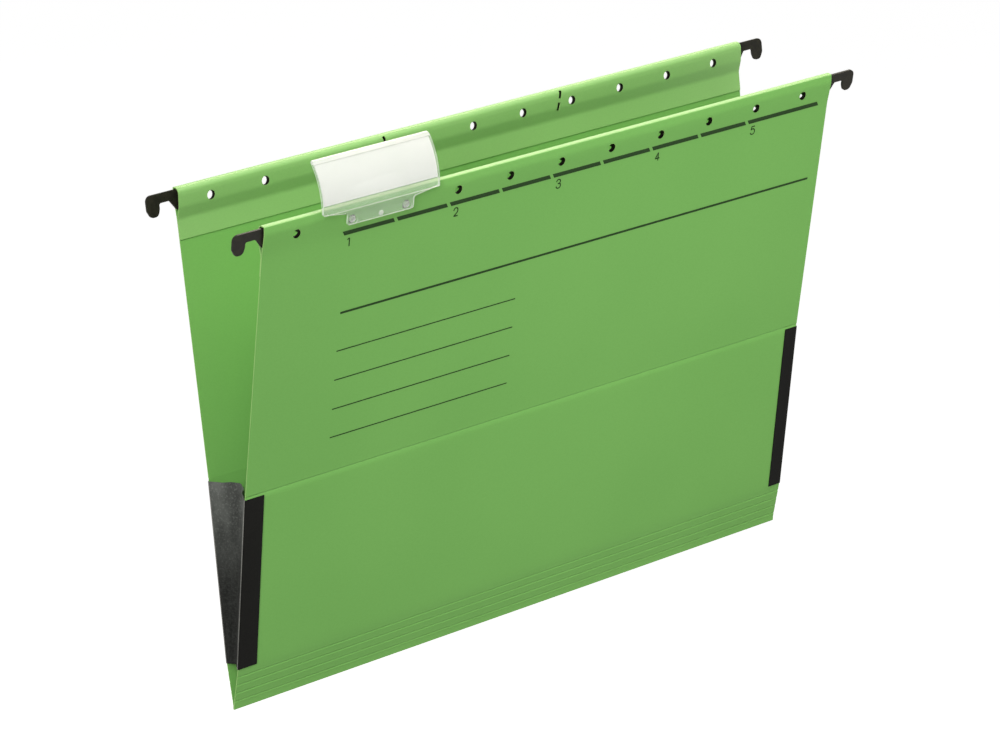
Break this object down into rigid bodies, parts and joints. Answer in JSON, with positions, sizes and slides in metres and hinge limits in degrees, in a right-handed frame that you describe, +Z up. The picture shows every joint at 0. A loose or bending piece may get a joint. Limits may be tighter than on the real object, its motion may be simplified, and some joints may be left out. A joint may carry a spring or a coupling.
{
  "type": "hanging file folder",
  "caption": "Green card hanging file with rolled top edges over hooked rails, black cloth side gussets and a clear clip-on tab; opens as a V to hold loose A4 papers.",
  "frame": {"origin": "midway between the seats of the four hooks", "axes": "+X along the folder to the right as seen from the front, -Y towards the front, +Z up"},
  "size_m": [0.348, 0.0674, 0.2531],
  "materials": {
    "card": "matt green dyed card",
    "rail": "satin black lacquer on steel",
    "cloth": "black coated bookbinding cloth",
    "tab": "clear moulded plastic",
    "label": "plain white paper"
  },
  "bodies": {
    "back_upper": {"back_panel_upper": "card", "back_rolled_edge": "card", "back_rail": "rail"},
    "back_lower": {"back_panel_lower": "card", "left_gusset_back_band": "cloth", "right_gusset_back_band": "cloth"},
    "front_lower": {"front_panel_lower": "card", "left_gusset_front_band": "cloth", "right_gusset_front_band": "cloth"},
    "front_upper": {"front_panel_upper": "card", "front_rolled_edge": "card", "front_rail": "rail"},
    "tab": {"tab_holder": "tab"},
    "label": {"label_insert": "label"},
    "left_front_leaf": {"left_gusset_front_leaf": "cloth"},
    "left_back_leaf": {"left_gusset_back_leaf": "cloth"},
    "right_front_leaf": {"right_gusset_front_leaf": "cloth"},
    "right_back_leaf": {"right_gusset_back_leaf": "cloth"}
  },
  "joints": [
    {"name": "back_score", "type": "hinge", "parent": "back_upper", "child": "back_lower", "pos_m": [0, 0.01356, -0.12241], "axis": [1, 0, 0], "range_deg": [0, 90]},
    {"name": "bottom_fold", "type": "hinge", "parent": "back_lower", "child": "front_lower", "pos_m": [0, 0, -0.22546], "axis": [1, 0, 0], "range_deg": [-13, 2]},
    {"name": "front_score", "type": "hinge", "parent": "front_lower", "child": "front_upper", "pos_m": [0, -0.01356, -0.12241], "axis": [1, 0, 0], "range_deg": [0, 90]},
    {"name": "tab_unclip", "type": "slide", "parent": "front_upper", "child": "tab", "axis": [0, -0.9893, -0.1461], "range_m": [0, 0.012]},
    {"name": "label_slide", "type": "slide", "parent": "tab", "child": "label", "axis": [1, 0, 0], "range_m": [0, 0.062]},
    {"name": "left_front_leaf_turn", "type": "hinge", "parent": "front_lower", "child": "left_front_leaf", "pos_m": [-0.1586, -0.00359, -0.20632], "axis": [0, -0.1097, 0.994], "range_deg": [-53.5, 8.4]},
    {"name": "left_back_leaf_turn", "type": "hinge", "parent": "back_lower", "child": "left_back_leaf", "pos_m": [-0.1586, 0.00359, -0.20632], "axis": [0, -0.1097, -0.994], "range_deg": [-53.5, 8.4]},
    {"name": "right_front_leaf_turn", "type": "hinge", "parent": "front_lower", "child": "right_front_leaf", "pos_m": [0.1586, -0.00359, -0.20632], "axis": [0, 0.1097, -0.994], "range_deg": [-53.5, 8.4]},
    {"name": "right_back_leaf_turn", "type": "hinge", "parent": "back_lower", "child": "right_back_leaf", "pos_m": [0.1586, 0.00359, -0.20632], "axis": [0, 0.1097, 0.994], "range_deg": [-53.5, 8.4]}
  ],
  "couplings": [
    {"joint": "left_front_leaf_turn", "follows": "bottom_fold", "ratio": 4.1},
    {"joint": "left_back_leaf_turn", "follows": "bottom_fold", "ratio": 4.1},
    {"joint": "right_front_leaf_turn", "follows": "bottom_fold", "ratio": 4.1},
    {"joint": "right_back_leaf_turn", "follows": "bottom_fold", "ratio": 4.1}
  ]
}
